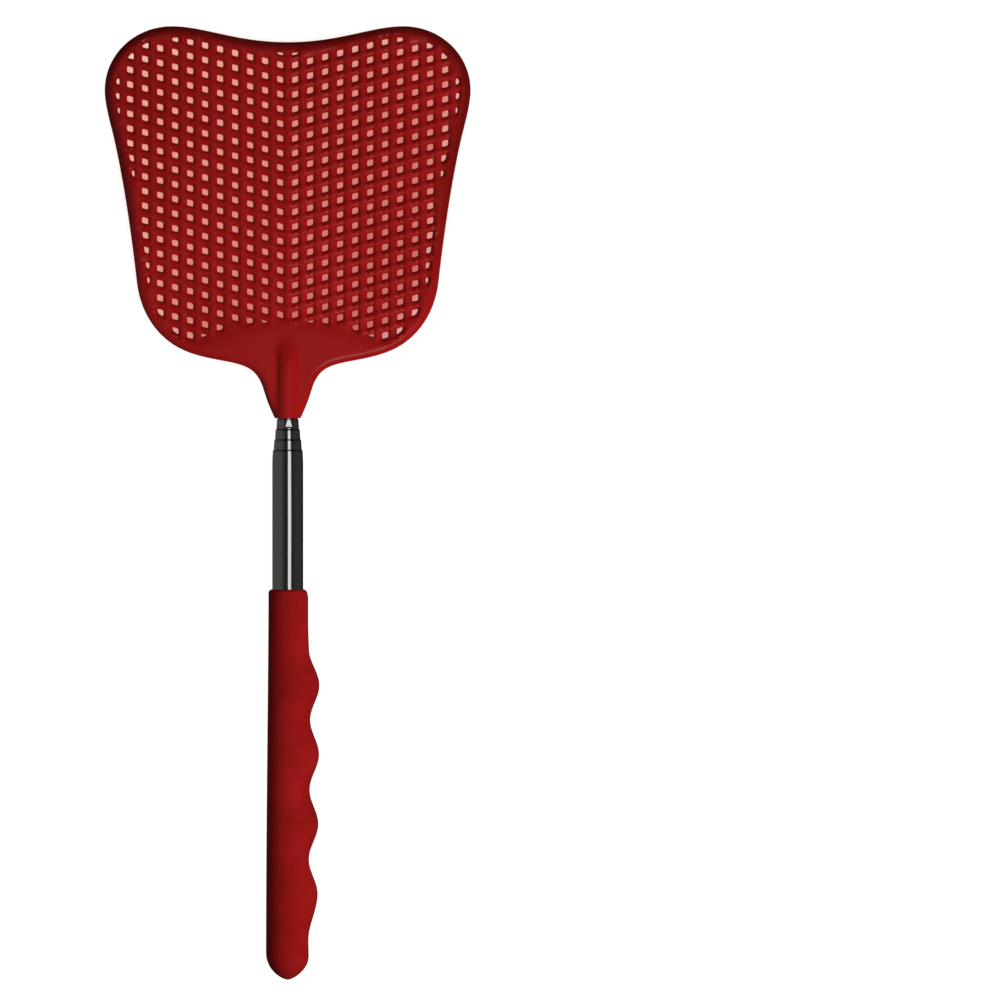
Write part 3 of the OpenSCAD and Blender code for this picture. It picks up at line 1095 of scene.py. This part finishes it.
# %% Floor and backdrop
FLOOR_R = 1500.0
FLOOR_AROUND = 96
BACKDROP_Y = 6.8
floor_points = turn_outline(np.array([FLOOR_R]), np.zeros(1), FLOOR_AROUND)[0]
floor = make_mesh("floor", floor_points, [list(range(FLOOR_AROUND))])
# Painted contact shade on the floor, where ambient occlusion finds the swatter close above it.
floor_shade = (0.8, 0.79, 0.79)
floor.data.materials.append(make_paper("floor_paper", (floor_shade, floor_shade), 30, 0.0, 0.8, 0.12))
backdrop_points = FLOOR_R * np.array([[-1, 0, 0], [1, 0, 0], [1, 0, 2], [-1, 0, 2]])
backdrop = make_mesh("backdrop", backdrop_points + [0, BACKDROP_Y, 0], [[0, 1, 2, 3]])
# Painted warm shade behind the blade: paler at the upper left, deeper at the lower right.
backdrop_shades = ((0.86, 0.34, 0.28), (0.5, 0.09, 0.078))
backdrop.data.materials.append(make_paper("backdrop_paper", backdrop_shades, 24, 0.45, 0.53, 0.13))

# %% Surround
def build_world():
    """White to the camera, with a faint fill. Reflections are dark ahead and overhead and paler at the
    sides, most of all at the left."""
    world = bpy.data.worlds.new("studio")
    bpy.context.scene.world = world
    world.use_nodes = True
    tree = world.node_tree
    tree.nodes.clear()
    link = tree.links.new
    path = tree.nodes.new("ShaderNodeLightPath")
    coord = tree.nodes.new("ShaderNodeTexCoord")
    split = tree.nodes.new("ShaderNodeSeparateXYZ")
    link(coord.outputs["Generated"], split.inputs[0])
    left, right = add_range(tree, -0.3, -0.8, 0.022, 0.104), add_range(tree, 0.5, 1.0, 0.0, 0.03)
    sides = add_math(tree, "ADD")
    link(split.outputs["X"], left.inputs["Value"])
    link(split.outputs["X"], right.inputs["Value"])
    link(left.outputs[0], sides.inputs[0])
    link(right.outputs[0], sides.inputs[1])
    overhead = add_range(tree, 0.12, 0.45, 1.0, 0.1)
    level = add_math(tree, "MULTIPLY")
    link(split.outputs["Z"], overhead.inputs["Value"])
    link(sides.outputs[0], level.inputs[0])
    link(overhead.outputs[0], level.inputs[1])
    glossy = tree.nodes.new("ShaderNodeBackground")
    link(level.outputs[0], glossy.inputs["Strength"])
    seen = tree.nodes.new("ShaderNodeBackground")
    set_inputs(seen, Color=(1, 1, 1, 1), Strength=WHITE[0])
    fill = tree.nodes.new("ShaderNodeBackground")
    set_inputs(fill, Strength=0.17)
    unseen = mix_shaders(tree, path.outputs["Is Glossy Ray"], fill.outputs[0], glossy.outputs[0])
    out = tree.nodes.new("ShaderNodeOutputWorld")
    link(mix_shaders(tree, path.outputs["Is Camera Ray"], unseen, seen.outputs[0]), out.inputs["Surface"])
    return world


studio = build_world()
print("surround:", studio.name)

# %% Lights
def add_light(name, place, aim, size, power, mirrored=True, only=None):
    """A soft rectangular light of some watts, turned to face its aim, with lengths in millimetres. It can
    be hidden from reflections, or light only some objects."""
    data = bpy.data.lights.new(name, "AREA")
    data.shape = "RECTANGLE"
    data.size, data.size_y = (side * MM for side in size)
    data.energy = power
    light = bpy.data.objects.new(name, data)
    bpy.context.scene.collection.objects.link(light)
    light.location = Vector(place) * MM
    light.rotation_euler = (Vector(aim) - Vector(place)).to_track_quat("-Z", "Y").to_euler()
    light.visible_camera = False
    light.visible_glossy = mirrored
    if only:
        lit = bpy.data.collections.new(name + "_only")
        for one in only:
            lit.objects.link(one)
        light.light_linking.receiver_collection = lit


HEAD_AIM = (0, 0, 200)
add_light("key", (260, -280, -20), HEAD_AIM, (120, 120), 2.2, False)
add_light("glint", (75, -250, 30), HEAD_AIM, (90, 90), 0.12)
add_light("front", (190, -1100, 120), (0, 0, 140), (400, 400), 1.6, False)
add_light("left_fill", (-350, -450, 60), (0, 0, 130), (300, 300), 0.25, False)
add_light("upper", (60, -300, 760), (0, 0, 660), (120, 120), 0.6, False)
add_light("strip", (345, -1290, 310), (0, 0, 290), (520, 640), 1.14, True, tubes)
add_light("back_light", (-450, 1200, 500), (0, 0, 160), (520, 700), 15.0, False)
add_light("back_strip", (-450, 1200, 100), (0, 0, 150), (520, 1500), 1.3, True, tubes)
add_light("low_strip", (950, -700, -450), (0, 0, 150), (400, 500), 0.8, True, tubes)

# %% Picture tone
bpy.context.scene.view_settings.view_transform = "Standard"
bpy.context.scene.view_settings.look = "None"
